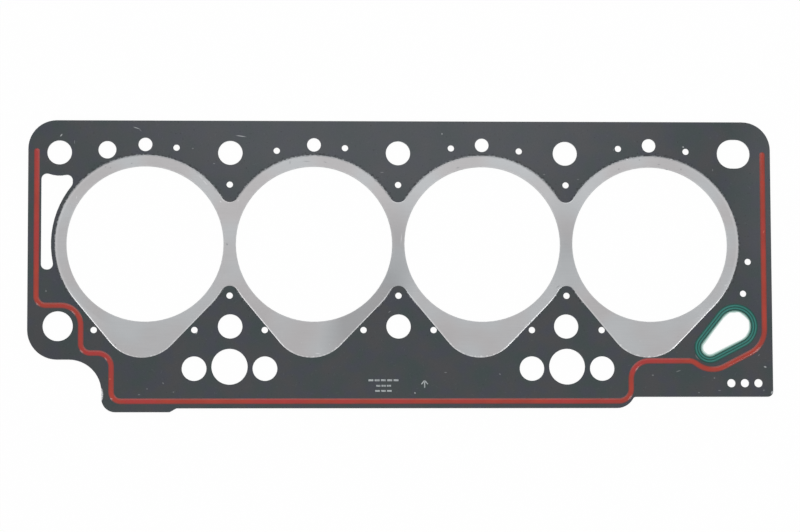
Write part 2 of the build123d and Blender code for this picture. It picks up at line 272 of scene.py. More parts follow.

# Clouds of the rolled sheet, tens of millimetres wide, a paler stretch of painted light along the
# vents and down the end with the oil passage, and a darker stretch round the notch
cloud = add_node(
    tree, "ShaderNodeTexNoise", {"Vector": coords, "Scale": 1 / CLOUD_SIZE, "Detail": 3.0}
).outputs["Fac"]
cloud_ramp = add_node(
    tree,
    "ShaderNodeMapRange",
    {"Value": cloud, "From Min": CLOUD_RAMP[0], "From Max": CLOUD_RAMP[1]},
).outputs[0]
shifted = add_node(
    tree, "ShaderNodeMapping", {"Vector": coords, "Location": DRIFT_SHIFT}
).outputs[0]
drift = add_node(
    tree, "ShaderNodeTexNoise", {"Vector": shifted, "Scale": 1 / DRIFT_SIZE, "Detail": 2.0}
).outputs["Fac"]
drift_ramp = add_node(
    tree,
    "ShaderNodeMapRange",
    {
        "Value": drift,
        "From Min": DRIFT_RAMP[0],
        "From Max": DRIFT_RAMP[1],
        "To Max": BLUE_SHARE,
    },
).outputs[0]
sheet_colour = add_node(
    tree,
    "ShaderNodeMix",
    {0: cloud_ramp, 6: linear(FACING_HEX_WARM), 7: linear(FACING_HEX_COOL)},
    data_type="RGBA",
).outputs[2]
# Painted light: the facing made paler along the vents and down the end with the oil passage
painted_light_zone = spots_at(tree, coords, PAINTED_LIGHT_ZONES)
painted_light_amount = add_node(
    tree,
    "ShaderNodeMapRange",
    {"Value": painted_light_zone, "From Max": MARK_RAMP[1], "To Max": PAINTED_LIGHT_SHARE},
).outputs[0]
dark_zone = spots_at(tree, coords, DARK_ZONES)
dark_amount = add_node(
    tree, "ShaderNodeMath", {0: dark_zone, 1: DARK_SHARE}, operation="MULTIPLY"
).outputs[0]
for amount, layer_hex in (
    (drift_ramp, FACING_HEX_BLUE),
    (painted_light_amount, FACING_PAINTED_LIGHT_HEX),
    (dark_amount, FACING_DARK_HEX),
):
    sheet_colour = add_node(
        tree,
        "ShaderNodeMix",
        {0: amount, 6: sheet_colour, 7: linear(layer_hex)},
        data_type="RGBA",
    ).outputs[2]

# Grain of the felted fibres, and the longer fibres that lie along the sheet
grain = add_node(
    tree,
    "ShaderNodeTexNoise",
    {"Vector": coords, "Scale": 1 / GRAIN_SIZE, "Detail": 4.0, "Roughness": 0.6},
).outputs["Fac"]
grain_gain = add_node(
    tree,
    "ShaderNodeMapRange",
    {
        "Value": grain,
        "From Min": NOISE_SPAN[0],
        "From Max": NOISE_SPAN[1],
        "To Min": 1 - GRAIN_CONTRAST,
        "To Max": 1 + GRAIN_CONTRAST,
    },
).outputs[0]
sheet_colour = shade_by(tree, sheet_colour, grain_gain)

# Each layer on the sheet is how much of it there is and its colour, the lowest first
sheet_layers = []
fibres = 0.0
for turn in FIBRE_TURNS:
    along = add_node(
        tree,
        "ShaderNodeMapping",
        {
            "Vector": coords,
            "Rotation": (0, 0, math.radians(turn)),
            "Scale": (FIBRE_LENGTH, FIBRE_WIDTH, FIBRE_LENGTH),
        },
        vector_type="TEXTURE",
    ).outputs[0]
    strand = add_node(
        tree, "ShaderNodeTexNoise", {"Vector": along, "Scale": 1.0, "Detail": 1.0}
    ).outputs["Fac"]
    strand = add_node(
        tree,
        "ShaderNodeMapRange",
        {"Value": strand, "From Min": STRAND_RAMP[0], "From Max": STRAND_RAMP[1]},
    ).outputs[0]
    fibres = add_node(
        tree, "ShaderNodeMath", {0: strand, 1: fibres}, operation="MAXIMUM"
    ).outputs[0]
fibre_amount = add_node(
    tree, "ShaderNodeMath", {0: fibres, 1: FIBRE_SHARE}, operation="MULTIPLY"
).outputs[0]
sheet_layers.append((fibre_amount, FIBRE_HEX))

# Grit: one speck in each cell of nine millimetres, most of them too small to see
grit = add_node(tree, "ShaderNodeTexVoronoi", {"Vector": coords, "Scale": 1 / GRIT_SPACING})
grit_size = add_node(
    tree,
    "ShaderNodeMapRange",
    {
        "Value": grit.outputs["Color"],
        "From Min": GRIT_RAMP[0],
        "From Max": GRIT_RAMP[1],
        "To Max": GRIT_LARGEST_SHARE,
    },
).outputs[0]
grit_amount = add_node(
    tree,
    "ShaderNodeMapRange",
    {
        "Value": grit.outputs["Distance"],
        "From Min": grit_size,
        "From Max": 0.0,
        "To Min": 0.0,
        "To Max": GRIT_SHARE,
    },
).outputs[0]
sheet_layers.append((grit_amount, FIBRE_HEX))

# Frayed pale fibres and dark pits where the sheet was trimmed against the armour's rim; the pits
# are partly painted shade, crowded into a band beside the rim of the rings
bore_distance, _, place_y, _ = ring_and_lobe(tree, coords)
ring_fringe = add_node(
    tree,
    "ShaderNodeMapRange",
    {
        "Value": bore_distance,
        "From Min": ARMOUR_RADIUS,
        "From Max": ARMOUR_RADIUS + FRINGE_WIDTH,
        "To Min": 1.0,
        "To Max": 0.0,
    },
).outputs[0]
fringe_noise = add_node(
    tree, "ShaderNodeTexNoise", {"Vector": coords, "Scale": 1 / FRINGE_SIZE, "Detail": 2.0}
).outputs["Fac"]
fringe_sum = add_node(
    tree,
    "ShaderNodeMath",
    {0: ring_fringe, 1: FRINGE_LIFT, 2: fringe_noise},
    operation="MULTIPLY_ADD",
).outputs[0]
fringe = add_node(
    tree,
    "ShaderNodeMapRange",
    {"Value": fringe_sum, "From Min": FRINGE_RAMP[0], "From Max": FRINGE_RAMP[1]},
).outputs[0]
above_lobes = add_node(
    tree,
    "ShaderNodeMapRange",
    {"Value": place_y, "From Min": RING_FOOT_Y - RING_FOOT_FADE, "From Max": RING_FOOT_Y},
).outputs[0]
fringe = add_node(
    tree, "ShaderNodeMath", {0: fringe, 1: ring_fringe}, operation="MULTIPLY"
).outputs[0]
fringe_amount = add_node(
    tree, "ShaderNodeMath", {0: fringe, 1: above_lobes}, operation="MULTIPLY"
).outputs[0]
sheet_layers.append((fringe_amount, FRINGE_HEX))
# Painted shade: the pits are raised into a dark ragged band beside the rim of the rings
painted_pit_shade_band = add_node(
    tree,
    "ShaderNodeMapRange",
    {
        "Value": bore_distance,
        "From Min": ARMOUR_RADIUS + PIT_SHADE_BAND[0],
        "From Max": ARMOUR_RADIUS + PIT_SHADE_BAND[1],
        "To Min": PIT_SHADE_LIFT,
        "To Max": 0.0,
    },
).outputs[0]
pit_noise = add_node(
    tree, "ShaderNodeTexNoise", {"Vector": shifted, "Scale": 1 / PIT_SIZE, "Detail": 2.0}
).outputs["Fac"]
pit_and_shade_sum = add_node(
    tree, "ShaderNodeMath", {0: pit_noise, 1: painted_pit_shade_band}, operation="ADD"
).outputs[0]
pits_and_shade = add_node(
    tree,
    "ShaderNodeMapRange",
    {
        "Value": pit_and_shade_sum,
        "From Min": PIT_AND_SHADE_RAMP[0],
        "From Max": PIT_AND_SHADE_RAMP[1],
        "To Max": PIT_AND_SHADE_SHARE,
    },
).outputs[0]
sheet_layers.append((pits_and_shade, FACING_DARK_HEX))
for marks, share in ((FACING_SCUFFS, SCUFF_SHARE), (FACING_SPECKS, SPECK_SHARE)):
    spots = spots_at(tree, coords, marks)
    spot_amount = add_node(
        tree,
        "ShaderNodeMapRange",
        {
            "Value": spots,
            "From Min": MARK_RAMP[0],
            "From Max": MARK_RAMP[1],
            "To Max": share,
        },
    ).outputs[0]
    sheet_layers.append((spot_amount, SCUFF_HEX))
for amount, layer_hex in sheet_layers:
    sheet_colour = add_node(
        tree,
        "ShaderNodeMix",
        {0: amount, 6: sheet_colour, 7: linear(layer_hex)},
        data_type="RGBA",
    ).outputs[2]
tree.links.new(sheet_colour, shader.inputs["Base Color"])

# Matt, with rolled patches that are a little smoother, and a low relief of the fibres and pits
gloss = add_node(
    tree,
    "ShaderNodeMapRange",
    {
        "Value": cloud,
        "From Min": NOISE_SPAN[0],
        "From Max": NOISE_SPAN[1],
        "To Min": FACING_ROUGHNESS[0],
        "To Max": FACING_ROUGHNESS[1],
    },
).outputs[0]
tree.links.new(gloss, shader.inputs["Roughness"])
shader.inputs["Specular IOR Level"].default_value = 0.42
relief = add_node(
    tree, "ShaderNodeMath", {0: fibres, 1: FIBRE_LIFT, 2: grain}, operation="MULTIPLY_ADD"
).outputs[0]
relief = add_node(
    tree, "ShaderNodeMath", {0: relief, 1: pits_and_shade}, operation="SUBTRACT"
).outputs[0]
bump = add_node(
    tree, "ShaderNodeBump", {"Height": relief, "Strength": 0.4, "Distance": FACING_RELIEF}
).outputs[0]
tree.links.new(bump, shader.inputs["Normal"])

for name in ("upper_facing", "lower_facing"):
    nodes[name].data.materials[0] = facing


# Core: a thin cold rolled steel carrier between the facings. It shows only as a light line at the
# cut edges and where the upper facing is chipped, with crumbs of the torn bond still on it.

CORE_HEX = "#d8dadc"
BOND_HEX = "#999da0"
CRUMB_SIZE = 0.7 * mm
CRUMB_RELIEF = 0.05 * mm
CRUMB_RAMP = (0.46, 0.58)
CORE_ROUGHNESS = (0.42, 0.7)

# Cold rolled steel under torn bond: pale and half dull, in crumbs of a fraction of a millimetre
core, tree, shader, coords = start_material("cold_rolled_core_steel")
torn = add_node(
    tree, "ShaderNodeTexNoise", {"Vector": coords, "Scale": 1 / CRUMB_SIZE, "Detail": 3.0}
).outputs["Fac"]
torn_ramp = add_node(
    tree,
    "ShaderNodeMapRange",
    {"Value": torn, "From Min": CRUMB_RAMP[0], "From Max": CRUMB_RAMP[1]},
).outputs[0]
core_colour = add_node(
    tree,
    "ShaderNodeMix",
    {0: torn_ramp, 6: linear(CORE_HEX), 7: linear(BOND_HEX)},
    data_type="RGBA",
).outputs[2]
tree.links.new(core_colour, shader.inputs["Base Color"])
shader.inputs["Metallic"].default_value = 0.6
core_rough = add_node(
    tree,
    "ShaderNodeMapRange",
    {"Value": torn, "To Min": CORE_ROUGHNESS[0], "To Max": CORE_ROUGHNESS[1]},
).outputs[0]
tree.links.new(core_rough, shader.inputs["Roughness"])
torn_bump = add_node(
    tree, "ShaderNodeBump", {"Height": torn, "Strength": 0.6, "Distance": CRUMB_RELIEF}
).outputs[0]
tree.links.new(torn_bump, shader.inputs["Normal"])
nodes["steel_core"].data.materials[0] = core


# Bore armour: one stamping of soft sheet steel with a satin mill finish, folded through all four
# bores. The flat flange drifts softly in tone, and handling has left a few fine scratches. Painted
# shade darkens two webs and the upper rim of the rings, and painted highlights brighten the fold
# at the bore's edge, the rim at the ends and along the lobes, and the end lobes' outer flanks.

ARMOUR_HEX_WARM = "#aaa8a9"
ARMOUR_HEX_COOL = "#a7a9ab"
DARK_STEEL_HEX = "#74777a"
FOLD_HEX = "#cfd0d2"
BARE_STEEL_AND_HIGHLIGHT_HEX = "#e2e2e4"
SPECK_HEX = "#6e7073"
MILL_LINE = 0.30 * mm
MILL_RUN = 14.0 * mm
MILL_RELIEF = 0.01 * mm
TONE_SIZE = 30 * mm
RAGGED_SIZE = 1.1 * mm
RAGGED_WIDTH = 0.9 * mm
BORE_RADIUS = 41.25 * mm
LOBE_RADIUS = 21.3 * mm
LOBE_HEAD_Y = -50.0 * mm
LOBE_HEAD_FADE = 3 * mm
VALLEY_Y = 23.5 * mm
VALLEY_FADE = 5 * mm
UPPER_ARC_FADE = 20 * mm
WEB_FOOT_FADE = (-2 * mm, 1 * mm)
END_X = (150 * mm, 165 * mm)
FLANK_TURNS = (-44.0, -140.4)

# Where each line of painted shade or painted highlight starts and ends, measured from the armour's
# rim, from the bore's edge for the fold, and from the lobe's rim for the lobe
RIM_SHADE_BAND = (-0.20 * mm, 0.05 * mm)
END_HIGHLIGHT_BAND = (-1.6 * mm, -0.7 * mm)
FOLD_BAND = (0.50 * mm, 0.85 * mm)
LOBE_BAND = (-1.1 * mm, -0.1 * mm)
FLANK_BAND = (-0.8 * mm, -0.4 * mm)

# The drift in tone and the scallops of painted highlight start to show at the first value and
# show in full at the second, and the dull flank and the specks show in full at theirs
TONE_RAMP = (0.42, 0.58)
TONE_SPAN = (0.35, 0.65)
SCALLOP_RAMP = (0.68, 0.84)
DULL_FULL = 0.5
ARMOUR_SPECK_FULL = 0.7

# How much of each colour lies on the steel where it shows in full, and how far the roll lines and
# the drift lighten and darken it
WEB_SHARE = 0.32
DULL_SHARE = 0.4
UPPER_ARC_SHARE = 0.1
RIM_SHADE_SHARE = 0.6
END_HIGHLIGHT_SHARE = 0.12
FOLD_SHARE = 0.4
LOBE_LIFT = 0.34
LOBE_SHARE = 0.45
FLANK_SHARE = 0.22
SCRATCH_AND_HIGHLIGHT_SHARE = 0.5
ARMOUR_SPECK_SHARE = 0.7
MILL_CONTRAST = 0.025
TONE_CONTRAST = 0.05
ARMOUR_ROUGHNESS = (0.28, 0.34)

# The two webs of painted shade and the dull flank, fine scratches on the flange and two long
# painted highlights, and dark specks. Each has its place, length and width in millimetres, and its
# turn in degrees.
PAINTED_SHADE_WEBS = [(0, 0, 34, 66, 0), (89, 0, 34, 66, 0)]
DULL_FLANKS = [(-16, -34, 74, 36, 54)]
ARMOUR_SCRATCHES_AND_HIGHLIGHTS = [
    (-101.9, 32.5, 4.4, 0.5, -46),
    (-104.4, 35.4, 3.4, 0.4, -44),
    (-42.6, -58.1, 3.6, 0.6, -8),
    (67.3, -43.0, 2.4, 0.5, 45),
    (164.7, -34.1, 1.6, 0.6, 0),
    (173.8, -21.7, 2.2, 0.7, 20),
    (177.0, 15.8, 2.6, 0.6, 70),
    (-169.6, 24.5, 2.0, 0.5, 80),
    (-93.8, 22.4, 1.5, 0.7, -50),
    (-84.6, 23.0, 1.4, 0.6, 40),
    (1.6, 3.0, 7.0, 0.5, 84),
    # Two long painted highlights along the outer flanks of the end lobes
    (163.6, -41.6, 34.0, 1.2, 52),
    (-166.6, -41.6, 34.0, 1.2, -52),
    (145.4, 45.5, 1.6, 0.7, -20),
    (121.9, 45.5, 1.4, 0.6, 15),
]
ARMOUR_SPECKS = [
    (-90.4, -0.2, 1.6, 1.1, 140),
    (138.8, 42.8, 1.9, 0.6, 10),
    (31.7, 40.8, 2.2, 0.6, 15),
    (-57.2, 43.4, 0.6, 2.4, 0),
    (-48.4, 44.0, 5.0, 0.4, -3),
    (-38.6, 43.6, 2.4, 0.4, -20),
    (-148.9, -53.4, 1.3, 0.8, -51),
    (84.5, -22.6, 3.0, 0.5, 35),
    (128.5, 45.2, 0.9, 0.8, 0),
    (117.4, 40.3, 1.3, 0.9, 30),
    (142.9, 40.2, 1.5, 0.7, -20),
    (150.6, 40.2, 0.9, 1.3, 0),
    (-140.7, 42.7, 1.2, 0.7, 20),
    (-151.8, 40.3, 1.0, 0.8, 0),
    (-154.5, 40.8, 0.8, 0.8, 0),
]

# Satin mill finish steel: light grey, with the room mirrored as a soft sheen and no clear image.
# Real roll lines are a few hundredths of a millimetre apart and are drawn ten times coarser.
armour, tree, shader, coords = start_material("satin_mill_finish_steel")
split = add_node(tree, "ShaderNodeSeparateXYZ", {0: coords})
wide = add_node(
    tree, "ShaderNodeTexNoise", {"Vector": coords, "Scale": 1 / TONE_SIZE, "Detail": 1.0}
).outputs["Fac"]
tone_ramp = add_node(
    tree,
    "ShaderNodeMapRange",
    {"Value": wide, "From Min": TONE_RAMP[0], "From Max": TONE_RAMP[1]},
).outputs[0]
steel_colour = add_node(
    tree,
    "ShaderNodeMix",
    {0: tone_ramp, 6: linear(ARMOUR_HEX_WARM), 7: linear(ARMOUR_HEX_COOL)},
    data_type="RGBA",
).outputs[2]
rolled = add_node(
    tree,
    "ShaderNodeMapping",
    {"Vector": coords, "Scale": (1 / MILL_RUN, 1 / MILL_LINE, 1 / MILL_LINE)},
).outputs[0]
mill = add_node(
    tree, "ShaderNodeTexNoise", {"Vector": rolled, "Scale": 1.0, "Detail": 3.0}
).outputs["Fac"]
mill_gain = add_node(
    tree,
    "ShaderNodeMapRange",
    {
        "Value": mill,
        "From Min": NOISE_SPAN[0],
        "From Max": NOISE_SPAN[1],
        "To Min": 1 - MILL_CONTRAST,
        "To Max": 1 + MILL_CONTRAST,
    },
).outputs[0]
wide_gain = add_node(
    tree,
    "ShaderNodeMapRange",
    {
        "Value": wide,
        "From Min": TONE_SPAN[0],
        "From Max": TONE_SPAN[1],
        "To Min": 1 - TONE_CONTRAST,
        "To Max": 1 + TONE_CONTRAST,
    },
).outputs[0]
gain = add_node(
    tree, "ShaderNodeMath", {0: mill_gain, 1: wide_gain}, operation="MULTIPLY"
).outputs[0]
steel_colour = shade_by(tree, steel_colour, gain)

# Each layer on the steel is how much of it there is and its colour, the lowest first. Two of the
# webs between the bores are darkened with painted shade, and one flank below the middle web is
# darker.
steel_layers = []
painted_shade_webs = spots_at(tree, coords, PAINTED_SHADE_WEBS)
painted_shade_amount = add_node(
    tree, "ShaderNodeMath", {0: painted_shade_webs, 1: WEB_SHARE}, operation="MULTIPLY"
).outputs[0]
steel_layers.append((painted_shade_amount, DARK_STEEL_HEX))
dull_flank = spots_at(tree, coords, DULL_FLANKS)
dull_amount = add_node(
    tree,
    "ShaderNodeMapRange",
    {"Value": dull_flank, "From Max": DULL_FULL, "To Max": DULL_SHARE},
).outputs[0]
steel_layers.append((dull_amount, DARK_STEEL_HEX))

# Painted shade in a ragged dark line along the upper rim of the rings, a painted highlight at the
# rim of the end rings, and another along the fold at the bore's edge. The arcs towards the vents
# are a little duller all over.
bore_distance, lobe_distance, place_y, from_bore = ring_and_lobe(tree, coords)
upper_arcs = add_node(
    tree,
    "ShaderNodeMapRange",
    {
        "Value": place_y,
        "From Min": VALLEY_Y,
        "From Max": VALLEY_Y + UPPER_ARC_FADE,
        "To Max": UPPER_ARC_SHARE,
    },
).outputs[0]
steel_layers.append((upper_arcs, DARK_STEEL_HEX))
edge_noise = add_node(
    tree, "ShaderNodeTexNoise", {"Vector": coords, "Scale": 1 / RAGGED_SIZE, "Detail": 2.0}
).outputs["Fac"]
wander = add_node(
    tree,
    "ShaderNodeMath",
    {0: edge_noise, 1: RAGGED_WIDTH, 2: bore_distance},
    operation="MULTIPLY_ADD",
).outputs[0]
# Painted shade: a ragged dark line on the rim of the rings above the valleys
painted_rim_shade = add_node(
    tree,
    "ShaderNodeMapRange",
    {
        "Value": wander,
        "From Min": ARMOUR_RADIUS + RIM_SHADE_BAND[0],
        "From Max": ARMOUR_RADIUS + RIM_SHADE_BAND[1],
        "To Max": RIM_SHADE_SHARE,
    },
).outputs[0]
above_valleys = add_node(
    tree,
    "ShaderNodeMapRange",
    {"Value": place_y, "From Min": VALLEY_Y, "From Max": VALLEY_Y + VALLEY_FADE},
).outputs[0]
rim_shade_amount = add_node(
    tree, "ShaderNodeMath", {0: painted_rim_shade, 1: above_valleys}, operation="MULTIPLY"
).outputs[0]
steel_layers.append((rim_shade_amount, DARK_STEEL_HEX))
# Painted highlight: the end rings made brighter just inside their rim
end_rim_highlight = add_node(
    tree,
    "ShaderNodeMapRange",
    {
        "Value": bore_distance,
        "From Min": ARMOUR_RADIUS + END_HIGHLIGHT_BAND[0],
        "From Max": ARMOUR_RADIUS + END_HIGHLIGHT_BAND[1],
        "To Max": END_HIGHLIGHT_SHARE,
    },
).outputs[0]
from_middle = add_node(
    tree, "ShaderNodeMath", {0: split.outputs["X"]}, operation="ABSOLUTE"
).outputs[0]
end_side = add_node(
    tree,
    "ShaderNodeMapRange",
    {"Value": from_middle, "From Min": END_X[0], "From Max": END_X[1]},
).outputs[0]
end_rim_highlight = add_node(
    tree, "ShaderNodeMath", {0: end_rim_highlight, 1: end_side}, operation="MULTIPLY"
).outputs[0]
steel_layers.append((end_rim_highlight, BARE_STEEL_AND_HIGHLIGHT_HEX))
# Painted highlight: a pale band along the fold at the bore's edge
fold_highlight_amount = add_node(
    tree,
    "ShaderNodeMapRange",
    {
        "Value": wander,
        "From Min": BORE_RADIUS + FOLD_BAND[0],
        "From Max": BORE_RADIUS + FOLD_BAND[1],
        "To Min": FOLD_SHARE,
        "To Max": 0.0,
    },
).outputs[0]
steel_layers.append((fold_highlight_amount, FOLD_HEX))

# A painted highlight in short scallops along the lobes' lower rim
lobe_band = add_node(
    tree,
    "ShaderNodeMapRange",
    {
        "Value": lobe_distance,
        "From Min": LOBE_RADIUS + LOBE_BAND[0],
        "From Max": LOBE_RADIUS + LOBE_BAND[1],
        "To Max": LOBE_LIFT,
    },
).outputs[0]
scallop_sum = add_node(
    tree, "ShaderNodeMath", {0: edge_noise, 1: lobe_band}, operation="ADD"
).outputs[0]
highlight_scallops = add_node(
    tree,
    "ShaderNodeMapRange",
    {"Value": scallop_sum, "From Min": SCALLOP_RAMP[0], "From Max": SCALLOP_RAMP[1]},
).outputs[0]
below_ring = add_node(
    tree,
    "ShaderNodeMapRange",
    {
        "Value": place_y,
        "From Min": LOBE_HEAD_Y - LOBE_HEAD_FADE,
        "From Max": LOBE_HEAD_Y,
        "To Min": LOBE_SHARE,
        "To Max": 0.0,
    },
).outputs[0]
lobe_highlight_amount = add_node(
    tree, "ShaderNodeMath", {0: highlight_scallops, 1: below_ring}, operation="MULTIPLY"
).outputs[0]
steel_layers.append((lobe_highlight_amount, BARE_STEEL_AND_HIGHLIGHT_HEX))

# A painted highlight along the rim of the lobes' straight flanks, which touch a ring and its lobe
below_webs = add_node(
    tree,
    "ShaderNodeMapRange",
    {
        "Value": place_y,
        "From Min": -VALLEY_Y + WEB_FOOT_FADE[0],
        "From Max": -VALLEY_Y + WEB_FOOT_FADE[1],
        "To Min": 1.0,
        "To Max": 0.0,
    },
).outputs[0]
for turn in FLANK_TURNS:
    outwards = (math.cos(math.radians(turn)), math.sin(math.radians(turn)), 0)
    reach = add_node(
        tree, "ShaderNodeVectorMath", {0: from_bore, 1: outwards}, operation="DOT_PRODUCT"
    ).outputs["Value"]
    flank_highlight = add_node(
        tree,
        "ShaderNodeMapRange",
        {
            "Value": reach,
            "From Min": ARMOUR_RADIUS + FLANK_BAND[0],
            "From Max": ARMOUR_RADIUS + FLANK_BAND[1],
            "To Max": FLANK_SHARE,
        },
    ).outputs[0]
    flank_highlight = add_node(
        tree, "ShaderNodeMath", {0: flank_highlight, 1: below_webs}, operation="MULTIPLY"
    ).outputs[0]
    steel_layers.append((flank_highlight, BARE_STEEL_AND_HIGHLIGHT_HEX))

# Scratches show the bare metal, two long strokes along the end lobes' outer flanks are painted
# highlights, and specks are dirt that stayed in dents
scratches_and_highlights = spots_at(tree, coords, ARMOUR_SCRATCHES_AND_HIGHLIGHTS)
scratch_and_highlight_amount = add_node(
    tree, "ShaderNodeMath", {0: scratches_and_highlights, 1: SCRATCH_AND_HIGHLIGHT_SHARE}, operation="MULTIPLY"
).outputs[0]
steel_layers.append((scratch_and_highlight_amount, BARE_STEEL_AND_HIGHLIGHT_HEX))
specks = spots_at(tree, coords, ARMOUR_SPECKS)
speck_amount = add_node(
    tree,
    "ShaderNodeMapRange",
    {"Value": specks, "From Max": ARMOUR_SPECK_FULL, "To Max": ARMOUR_SPECK_SHARE},
).outputs[0]
steel_layers.append((speck_amount, SPECK_HEX))
for amount, layer_hex in steel_layers:
    steel_colour = add_node(
        tree,
        "ShaderNodeMix",
        {0: amount, 6: steel_colour, 7: linear(layer_hex)},
        data_type="RGBA",
    ).outputs[2]
tree.links.new(steel_colour, shader.inputs["Base Color"])
shader.inputs["Metallic"].default_value = 1.0
satin = add_node(
    tree,
    "ShaderNodeMapRange",
    {
        "Value": mill,
        "From Min": NOISE_SPAN[0],
        "From Max": NOISE_SPAN[1],
        "To Min": ARMOUR_ROUGHNESS[0],
        "To Max": ARMOUR_ROUGHNESS[1],
    },
).outputs[0]
tree.links.new(satin, shader.inputs["Roughness"])
mill_bump = add_node(
    tree, "ShaderNodeBump", {"Height": mill, "Strength": 0.25, "Distance": MILL_RELIEF}
).outputs[0]
tree.links.new(mill_bump, shader.inputs["Normal"])
nodes["bore_armour"].data.materials[0] = armour


# Silicone line: red silicone screen printed on each face and cured to a low smooth dome. Where it
# thins out at its foot the dark facing shows through it, and its cured skin is glossy.

SILICONE_CREST_HEX = "#ae311d"
SILICONE_RICH_HEX = "#b32632"
SILICONE_FLANK_HEX = "#92382c"
SILICONE_FOOT_HEX = "#5c2628"
SILICONE_LOW_HEX = "#7c302d"
SILICONE_NICK_HEX = "#e0907c"
SKIN_GRAIN = 0.9 * mm
SKIN_RELIEF = 0.02 * mm
BLOTCH_SIZE = 9 * mm
BLOTCH_CONTRAST = 0.10
RICH_SIZE = 26 * mm
RICH_RAMP = (0.46, 0.62)
RICH_SHARE = 0.5
NICK_SHARE = 0.7

# Nicks in the line: place, length and width in millimetres, and turn in degrees
SILICONE_NICKS = [(-151.6, -71.5, 1.1, 0.7, 0), (194.4, 6.8, 2.0, 0.6, 70)]

# The sheet's middle plane, and how far from it the line's foot and crest lie on either face. The
# stops are where its lower edge and its flank lie between the two.
FACING_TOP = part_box("upper_facing")[1].z
MID_PLANE = FACING_TOP / 2
FOOT_HEIGHT = FACING_TOP - MID_PLANE
CREST_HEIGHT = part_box("perimeter_bead_upper")[1].z - MID_PLANE
LOW_STOP = 0.22
FLANK_STOP = 0.55

# Corners nearer than this are one. Two triangles that turn less than the flat angle become one
# face of any shape, and an edge that turns more than the crease angle stays sharp.
MERGE_DISTANCE = 0.001 * mm
FLAT_ANGLE = math.radians(0.6)
ANY_SHAPE_ANGLE = math.radians(180)
CREASE_ANGLE = math.radians(40)


def add_object(name, shell):
    """Turns a finished bmesh into an object of the scene."""
    mesh = bpy.data.meshes.new(name)
    shell.to_mesh(mesh)
    shell.free()
    piece = bpy.data.objects.new(name, mesh)
    bpy.context.scene.collection.objects.link(piece)
    return piece


def smooth_copy(name, source):
    """A merged copy of a CAD node with its long faces joined and its low ridges shaded round."""
    shell = bmesh.new()
    shell.from_mesh(source.data)
    bmesh.ops.remove_doubles(shell, verts=shell.verts, dist=MERGE_DISTANCE)
    bmesh.ops.join_triangles(
        shell,
        faces=shell.faces[:],
        angle_face_threshold=FLAT_ANGLE,
        angle_shape_threshold=ANY_SHAPE_ANGLE,
    )
    for face in shell.faces:
        face.smooth = True
    for edge in shell.edges:
        if len(edge.link_faces) == 2 and edge.calc_face_angle() > CREASE_ANGLE:
            edge.smooth = False
    return add_object(name, shell)


# Screen printed silicone: warm brick red along the crest, brown where it thins, under a smooth
# cured skin that shows the lamps as a fine line. The skin's own grain is drawn coarser than real.
silicone, tree, shader, coords = start_material("printed_red_silicone")
split = add_node(tree, "ShaderNodeSeparateXYZ", {0: coords})
height = add_node(
    tree, "ShaderNodeMath", {0: split.outputs["Z"], 1: MID_PLANE}, operation="SUBTRACT"
).outputs[0]
height = add_node(tree, "ShaderNodeMath", {0: height}, operation="ABSOLUTE").outputs[0]
dome = add_node(
    tree,
    "ShaderNodeMapRange",
    {"Value": height, "From Min": FOOT_HEIGHT, "From Max": CREST_HEIGHT},
).outputs[0]
dome_ramp = add_node(tree, "ShaderNodeValToRGB", {"Fac": dome})
stops = dome_ramp.color_ramp.elements
stops[0].color = linear(SILICONE_FOOT_HEX)
stops[1].color = linear(SILICONE_CREST_HEX)
stops.new(LOW_STOP).color = linear(SILICONE_LOW_HEX)
stops.new(FLANK_STOP).color = linear(SILICONE_FLANK_HEX)
blotch = add_node(
    tree, "ShaderNodeTexNoise", {"Vector": coords, "Scale": 1 / BLOTCH_SIZE, "Detail": 2.0}
).outputs["Fac"]
blotch_gain = add_node(
    tree,
    "ShaderNodeMapRange",
    {
        "Value": blotch,
        "From Min": NOISE_SPAN[0],
        "From Max": NOISE_SPAN[1],
        "To Min": 1 - BLOTCH_CONTRAST,
        "To Max": 1 + BLOTCH_CONTRAST,
    },
).outputs[0]
line_colour = shade_by(tree, dome_ramp.outputs["Color"], blotch_gain)

# A richer red in stretches of the crest, and two pale nicks
line_layers = []
rich = add_node(
    tree, "ShaderNodeTexNoise", {"Vector": coords, "Scale": 1 / RICH_SIZE, "Detail": 1.0}
).outputs["Fac"]
rich_ramp = add_node(
    tree,
    "ShaderNodeMapRange",
    {"Value": rich, "From Min": RICH_RAMP[0], "From Max": RICH_RAMP[1], "To Max": RICH_SHARE},
).outputs[0]
rich_amount = add_node(
    tree, "ShaderNodeMath", {0: rich_ramp, 1: dome}, operation="MULTIPLY"
).outputs[0]
line_layers.append((rich_amount, SILICONE_RICH_HEX))
nicks = spots_at(tree, coords, SILICONE_NICKS)
nick_amount = add_node(
    tree, "ShaderNodeMath", {0: nicks, 1: NICK_SHARE}, operation="MULTIPLY"
).outputs[0]
line_layers.append((nick_amount, SILICONE_NICK_HEX))
for amount, layer_hex in line_layers:
    line_colour = add_node(
        tree,
        "ShaderNodeMix",
        {0: amount, 6: line_colour, 7: linear(layer_hex)},
        data_type="RGBA",
    ).outputs[2]
tree.links.new(line_colour, shader.inputs["Base Color"])
shader.inputs["Roughness"].default_value = 0.26
shader.inputs["IOR"].default_value = 1.41
shader.inputs["Specular IOR Level"].default_value = 0.05
shader.inputs["Coat Weight"].default_value = 0.8
shader.inputs["Coat Roughness"].default_value = 0.13
skin = add_node(
    tree, "ShaderNodeTexNoise", {"Vector": coords, "Scale": 1 / SKIN_GRAIN, "Detail": 3.0}
).outputs["Fac"]
skin_bump = add_node(
    tree, "ShaderNodeBump", {"Height": skin, "Strength": 0.12, "Distance": SKIN_RELIEF}
).outputs[0]
tree.links.new(skin_bump, shader.inputs["Normal"])

